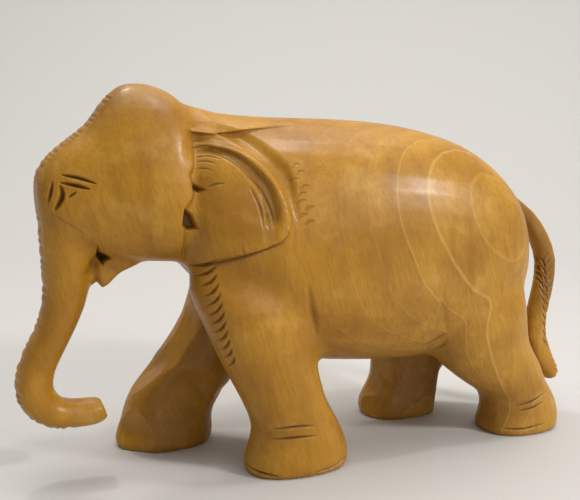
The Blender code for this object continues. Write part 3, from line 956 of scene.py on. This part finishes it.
class ELEPHANT_OT_divide(bpy.types.Operator):
    """Divides the finished block into its named regions, each one closed and lacquered"""

    bl_idname = "elephant.divide"
    bl_label = "Divide the Block"

    def execute(self, context):
        block = Block()
        wood = carved_wood(context.scene.elephant_wood)
        triangles = np.empty(len(block.mesh.polygons) * 3, np.int32)
        block.mesh.polygons.foreach_get("vertices", triangles)
        triangles = triangles.reshape(-1, 3)
        votes = block.region[triangles]
        owner = np.where(votes[:, 1] == votes[:, 2], votes[:, 1], votes[:, 0])
        for number, name in enumerate(REGIONS):
            own = triangles[owner == number]
            if not len(own):
                raise RuntimeError(f"no wood is left for {name}")
            kept, own = np.unique(own, return_inverse=True)
            places, faces = close_holes(block.places[kept], block.normals[kept], own.reshape(-1, 3), WALL)
            mesh = bpy.data.meshes.new(f"carved_{name}")
            fill_mesh(mesh, places, faces)
            stain = np.zeros(len(places), np.float32)
            stain[: len(kept)] = block.stain[kept]
            mesh.attributes.new("stain", "FLOAT", "POINT").data.foreach_set("value", stain)
            mesh.shade_smooth()
            normals = Block.read("vector", mesh.vertex_normals, 3)
            normals[: len(kept)] = block.normals[kept]
            mesh.normals_split_custom_set_from_vertices(normals.tolist())
            mesh.materials.append(wood)
            piece = bpy.data.objects.new(f"carved_{name}", mesh)
            context.scene.collection.objects.link(piece)
            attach(piece, "root")
            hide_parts(name)
        bpy.data.objects.remove(bpy.data.objects[BLOCK])
        bpy.data.meshes.remove(block.mesh)
        return {"FINISHED"}


# ---------------------------------------------------------------- the wood


def new_group(name, inputs, outputs):
    """A node group with these sockets, written as name: kind."""
    group = bpy.data.node_groups.new(name, "ShaderNodeTree")
    for way, sockets in (("INPUT", inputs), ("OUTPUT", outputs)):
        for label, kind in sockets.items():
            group.interface.new_socket(name=label, in_out=way, socket_type=f"NodeSocket{kind}")
    return group


class Nodes:
    """Short calls for adding nodes to one tree."""

    def __init__(self, tree):
        self.tree = tree

    def add(self, kind, **values):
        node = self.tree.nodes.new(kind)
        for name, value in values.items():
            setattr(node, name, value)
        return node

    def link(self, source, target):
        self.tree.links.new(source, target)

    def feed(self, target, value):
        if isinstance(value, bpy.types.NodeSocket):
            self.link(value, target)
        else:
            target.default_value = value

    def math(self, operation, *values, clamp=False):
        node = self.add("ShaderNodeMath", operation=operation, use_clamp=clamp)
        for target, value in zip(node.inputs, values, strict=False):
            self.feed(target, value)
        return node.outputs[0]

    def vector(self, operation, *values, out="Vector"):
        node = self.add("ShaderNodeVectorMath", operation=operation)
        for target, value in zip(node.inputs, values, strict=False):
            self.feed(target, value)
        return node.outputs[out]

    def noise(self, place, scale, detail=2.0, rough=0.5, dims="3D"):
        node = self.add("ShaderNodeTexNoise", noise_dimensions=dims)
        self.feed(node.inputs["W" if dims == "1D" else "Vector"], place)
        node.inputs["Scale"].default_value = scale
        node.inputs["Detail"].default_value = detail
        node.inputs["Roughness"].default_value = rough
        return node.outputs[0]

    def span(self, value, low, high, to_low=0.0, to_high=1.0):
        node = self.add("ShaderNodeMapRange", interpolation_type="SMOOTHSTEP")
        for name, given in (("Value", value), ("From Min", low), ("From Max", high),
                            ("To Min", to_low), ("To Max", to_high)):
            self.feed(node.inputs[name], given)
        return node.outputs["Result"]

    def mix(self, factor, a, b, blend="MIX"):
        node = self.add("ShaderNodeMix", data_type="RGBA", blend_type=blend)
        self.feed(node.inputs["Factor"], factor)
        self.feed(node.inputs["A"], a)
        self.feed(node.inputs["B"], b)
        return node.outputs["Result"]


def growth_rings_group():
    """Layers of wood round a far-off pith: how late in its ring a place is, and the pale line between
    rings."""
    group = new_group(
        "growth rings",
        {"Place": "Vector", "Pith": "Vector", "Pith direction": "Vector", "Width": "Float", "First": "Float"},
        {"Late": "Float", "Line": "Float"})
    n = Nodes(group)
    given = n.add("NodeGroupInput").outputs
    away = n.vector("SUBTRACT", given["Place"], given["Pith"])
    radius = n.vector("LENGTH", n.vector("CROSS_PRODUCT", away, given["Pith direction"]), out="Value")
    waver = n.math("MULTIPLY", n.math("SUBTRACT", n.noise(given["Place"], 0.05, 3.0, 0.55), 0.5), 0.7)
    radius = n.math("ADD", radius, waver)
    phase = n.math("DIVIDE", n.math("SUBTRACT", radius, given["First"]), given["Width"])
    uneven = n.math("MULTIPLY", n.math("SUBTRACT", n.noise(radius, 0.35, 0.0, dims="1D"), 0.5), 0.35)
    turn = n.math("FRACT", n.math("ADD", phase, n.math("ADD", uneven, 40.0)))
    late = n.span(turn, 0.35, 0.96)
    before = n.span(turn, 0.955, 0.995)
    after = n.span(turn, 0.05, 0.0)
    strength = n.span(n.noise(n.math("FLOOR", phase), 3.7, 0.0, dims="1D"), 0.3, 0.7, 0.35, 1.0)
    line = n.math("MULTIPLY", n.math("MAXIMUM", before, after), strength)
    out = n.add("NodeGroupOutput").inputs
    n.link(late, out["Late"])
    n.link(line, out["Line"])
    return group


def fibres_group():
    """Fine streaks along the grain, and the short dark pores between them."""
    group = new_group(
        "wood fibres", {"Place": "Vector", "Lean": "Float"}, {"Streaks": "Float", "Pores": "Float"})
    n = Nodes(group)
    given = n.add("NodeGroupInput").outputs
    turn = n.add("ShaderNodeVectorRotate", rotation_type="Y_AXIS")
    n.link(given["Place"], turn.inputs["Vector"])
    n.link(given["Lean"], turn.inputs["Angle"])
    grain = turn.outputs[0]
    long = n.vector("MULTIPLY", grain, (1.6, 1.6, 0.09))
    streaks = n.noise(long, 1.0, 4.0, 0.6)
    short = n.vector("MULTIPLY", grain, (3.2, 3.2, 0.42))
    pores = n.span(n.noise(short, 1.0, 1.5, 0.5), 0.58, 0.72)
    out = n.add("NodeGroupOutput").inputs
    n.link(streaks, out["Streaks"])
    n.link(pores, out["Pores"])
    return group


# The ring pattern; places are in mm.
PITH = (-55.5, 65.7, 50.0)  # a point on the tree's centre line, beside the figure
PITH_DIRECTION = (-0.9217, -0.2369, 0.3072)
FIRST_RING = 101.95  # from the pith to one ring line
GRAIN_LEAN = math.radians(18)
RUMP_FROM, RUMP_TO = -14.0, 24.0  # where along X the rings begin to show, and where they show in full

# How much of the other colour each layer of the wood's figure brings in, 0 to 1.
BANDS, RUMP_BANDS, RUMP_PALE, CLOUDS, LONG_CLOUDS = 0.08, 0.2, 0.16, 0.5, 0.4
# The held darkening is lacquer in the cuts together with painted shade in cuts, hollows and on faces turned from
# the light.
STREAKS, PALE_PATCHES, RING_LINES, PORES, HELD_STAIN_AND_SHADE = 0.32, 0.22, 0.36, 0.17, 0.85

# The satin lacquer and the feel of the fibres under it.
COAT, COAT_ROUGHNESS, SPECULAR = 0.3, 0.27, 0.2
FIBRE_BUMP, FIBRE_HEIGHT = 0.25, 0.1 * MM


def carved_wood(wood):
    """Light yellow-brown wood, sanded and knife-cut, under a satin lacquer."""
    material = bpy.data.materials.new("carved wood")
    material.use_nodes = True
    n = Nodes(material.node_tree)
    shader = material.node_tree.nodes["Principled BSDF"]
    place = n.vector("MULTIPLY", n.add("ShaderNodeTexCoord").outputs["Object"], (1 / MM, 1 / MM, 1 / MM))

    rings = n.add("ShaderNodeGroup")
    rings.node_tree = growth_rings_group()
    n.feed(rings.inputs["Place"], place)
    rings.inputs["Pith"].default_value = PITH
    rings.inputs["Pith direction"].default_value = PITH_DIRECTION
    rings.inputs["Width"].default_value = wood.ring_width / MM
    rings.inputs["First"].default_value = FIRST_RING

    fibres = n.add("ShaderNodeGroup")
    fibres.node_tree = fibres_group()
    n.feed(fibres.inputs["Place"], place)
    fibres.inputs["Lean"].default_value = GRAIN_LEAN

    early, late, line, stain = ((*c, 1.0) for c in (wood.early, wood.late, wood.ring_line, wood.stain))
    apart = n.add("ShaderNodeSeparateXYZ")
    n.link(place, apart.inputs[0])
    rump = n.span(apart.outputs["X"], RUMP_FROM, RUMP_TO, 0.05, 1.0)
    bands = n.math("MULTIPLY", rings.outputs["Late"], n.math("MULTIPLY_ADD", rump, RUMP_BANDS, BANDS))
    clouds = n.span(n.noise(place, 0.055, 4.0, 0.6), 0.38, 0.66)
    stretched = n.vector("MULTIPLY", place, (0.16, 0.16, 0.03))
    long_clouds = n.span(n.noise(stretched, 1.0, 3.0, 0.6), 0.5, 0.72)
    streaks = n.span(fibres.outputs["Streaks"], 0.35, 0.7)
    pale = n.span(n.noise(place, 0.09, 3.0, 0.6), 0.56, 0.72)
    lines = n.math("MULTIPLY", rings.outputs["Line"], rump)
    # The vertex darkening read here is lacquer held in the cuts and painted shade in cuts, hollows and on faces
    # turned from the light.
    held = n.add("ShaderNodeAttribute", attribute_name="stain").outputs["Fac"]
    skin = n.mix(bands, early, late)
    for mask, share, other in (
        (rump, RUMP_PALE, line), (clouds, CLOUDS, late), (long_clouds, LONG_CLOUDS, late),
        (streaks, STREAKS, late), (pale, PALE_PATCHES, line), (lines, RING_LINES, line),
        (fibres.outputs["Pores"], PORES, stain), (held, HELD_STAIN_AND_SHADE, stain),
    ):
        skin = n.mix(n.math("MULTIPLY", mask, share), skin, other)
    n.link(skin, shader.inputs["Base Color"])

    n.link(n.span(fibres.outputs["Streaks"], 0.3, 0.7, 0.42, 0.54), shader.inputs["Roughness"])
    shader.inputs["Coat Weight"].default_value = COAT
    shader.inputs["Coat Roughness"].default_value = COAT_ROUGHNESS
    shader.inputs["Specular IOR Level"].default_value = SPECULAR
    bump = n.add("ShaderNodeBump")
    bump.inputs["Strength"].default_value = FIBRE_BUMP
    bump.inputs["Distance"].default_value = FIBRE_HEIGHT
    n.link(fibres.outputs["Streaks"], bump.inputs["Height"])
    n.link(bump.outputs["Normal"], shader.inputs["Normal"])
    return material


# ---------------------------------------------------------------- the stage

CAMERA_PLACE = (-0.10336, -0.24081, 0.10558)
CAMERA_TURN = (math.radians(90 - 11.03), 0.0, math.radians(-22))
CAMERA_LENS, CAMERA_SENSOR = 60.5, 36.0  # mm
SWEEP_FRONT, SWEEP_BACK, SWEEP_HALF, SWEEP_TOP = -1.2, 0.55, 1.6, 1.4  # the paper's edges, in metres
SWEEP_RADIUS, SWEEP_STEPS = 0.30, 24
ROOM_COLOUR, ROOM_STRENGTH = (0.97, 0.98, 1.0, 1.0), 0.36


def area_lamp(name, place, aim, size, watts):
    """A soft rectangular lamp turned towards its aim."""
    lamp = bpy.data.lights.new(name, "AREA")
    lamp.shape = "RECTANGLE"
    lamp.size, lamp.size_y = size
    lamp.energy = watts
    holder = bpy.data.objects.new(name, lamp)
    holder.location = place
    holder.rotation_euler = (Vector(aim) - Vector(place)).to_track_quat("-Z", "Y").to_euler()
    bpy.context.scene.collection.objects.link(holder)


def paper_sweep(paper):
    """A sheet of paper that lies on the table and curves up behind the figure."""
    bend = SWEEP_BACK - SWEEP_RADIUS
    profile = [(SWEEP_FRONT, 0.0), (bend, 0.0)]
    for i in range(1, SWEEP_STEPS + 1):
        angle = math.pi / 2 * i / SWEEP_STEPS
        profile.append((bend + SWEEP_RADIUS * math.sin(angle), SWEEP_RADIUS - SWEEP_RADIUS * math.cos(angle)))
    profile.append((SWEEP_BACK, SWEEP_TOP))
    bm = bmesh.new()
    rows = [[bm.verts.new((x, y, z)) for x in (-SWEEP_HALF, SWEEP_HALF)] for y, z in profile]
    for a, b in zip(rows, rows[1:], strict=False):
        bm.faces.new((a[0], a[1], b[1], b[0]))
    mesh = bpy.data.meshes.new("paper_sweep")
    bm.to_mesh(mesh)
    bm.free()
    mesh.shade_smooth()
    sweep = bpy.data.objects.new("paper_sweep", mesh)
    sweep.rotation_euler = (0, 0, CAMERA_TURN[2])
    bpy.context.scene.collection.objects.link(sweep)
    material = bpy.data.materials.new("pale paper")
    material.use_nodes = True
    shader = material.node_tree.nodes["Principled BSDF"]
    shader.inputs["Base Color"].default_value = (*paper, 1.0)
    shader.inputs["Roughness"].default_value = 0.65
    shader.inputs["Specular IOR Level"].default_value = 0.25
    mesh.materials.append(material)


class ELEPHANT_OT_stage(bpy.types.Operator):
    """Sets the camera, the paper sweep and the lamps"""

    bl_idname = "elephant.stage"
    bl_label = "Set the Stage"

    def execute(self, context):
        s = context.scene.elephant_stage
        camera = bpy.data.objects.new("camera", bpy.data.cameras.new("camera"))
        camera.data.lens = CAMERA_LENS
        camera.data.sensor_width = CAMERA_SENSOR
        camera.data.clip_start = 0.01
        camera.location = CAMERA_PLACE
        camera.rotation_euler = CAMERA_TURN
        context.scene.collection.objects.link(camera)
        context.scene.camera = camera
        paper_sweep(s.paper)
        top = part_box("torso")[1][2]
        rump, brow = Vector((0.023, -0.021, 0.76 * top)), Vector((-0.048, -0.006, top))
        middle = Vector((0, 0, 0.05))
        for name, aim, way, distance, size, watts in (
            ("ceiling lamp", middle, (0.05, 0.15, 1.0), 0.8, (1.0, 0.8), 1.6 * s.key_power),
            ("window lamp", rump, (0.58, -0.64, 0.50), 0.6, (0.08, 0.06), 0.5 * s.key_power),
            ("spot lamp", brow, (-0.07, 0.5, 0.86), 0.5, (0.05, 0.05), 0.14 * s.key_power),
            ("second spot lamp", brow, (0.31, -0.12, 0.94), 0.5, (0.04, 0.04), 0.12 * s.key_power),
            ("camera side lamp", middle, (0.45, -1.0, 0.55), 1.0, (0.9, 0.5), s.fill_power),
        ):
            area_lamp(name, aim + Vector(way).normalized() * distance, aim, size, watts)
        world = bpy.data.worlds.new("room")
        world.use_nodes = True
        background = world.node_tree.nodes["Background"]
        background.inputs["Color"].default_value = ROOM_COLOUR
        background.inputs["Strength"].default_value = ROOM_STRENGTH
        context.scene.world = world
        context.scene.view_settings.view_transform = "Standard"
        return {"FINISHED"}


class ELEPHANT_PT_panel(bpy.types.Panel):
    """Steps and settings of the carved elephant"""

    bl_idname = "ELEPHANT_PT_panel"
    bl_label = "Carved Elephant"
    bl_space_type = "VIEW_3D"
    bl_region_type = "UI"
    bl_category = "Elephant"

    def draw(self, context):
        layout = self.layout
        for settings, _ in SETTINGS:
            group = getattr(context.scene, settings)
            box = layout.box()
            for name in group.bl_rna.properties.keys():
                if name not in ("rna_type", "name"):
                    box.prop(group, name)
        for operator in OPERATORS:
            layout.operator(operator.bl_idname)


OPERATORS = (
    ELEPHANT_OT_rough_out, ELEPHANT_OT_carve_body, ELEPHANT_OT_carve_ears, ELEPHANT_OT_carve_face,
    ELEPHANT_OT_carve_trunk, ELEPHANT_OT_carve_legs, ELEPHANT_OT_carve_tail, ELEPHANT_OT_divide,
    ELEPHANT_OT_stage,
)
SETTINGS = (
    ("elephant_carving", CarvingSettings),
    ("elephant_wood", WoodSettings),
    ("elephant_stage", StageSettings),
)


def register():
    for name, group in SETTINGS:
        bpy.utils.register_class(group)
        setattr(bpy.types.Scene, name, PointerProperty(type=group))
    for operator in OPERATORS:
        bpy.utils.register_class(operator)
    bpy.utils.register_class(ELEPHANT_PT_panel)


def unregister():
    bpy.utils.unregister_class(ELEPHANT_PT_panel)
    for operator in reversed(OPERATORS):
        bpy.utils.unregister_class(operator)
    for name, group in reversed(SETTINGS):
        delattr(bpy.types.Scene, name)
        bpy.utils.unregister_class(group)


def main():
    """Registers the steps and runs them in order."""
    register()
    bpy.ops.elephant.rough_out()
    bpy.ops.elephant.carve_body()
    bpy.ops.elephant.carve_ears()
    bpy.ops.elephant.carve_face()
    bpy.ops.elephant.carve_trunk()
    bpy.ops.elephant.carve_legs()
    bpy.ops.elephant.carve_tail()
    bpy.ops.elephant.divide()
    bpy.ops.elephant.stage()


if __name__ == "__main__":
    main()
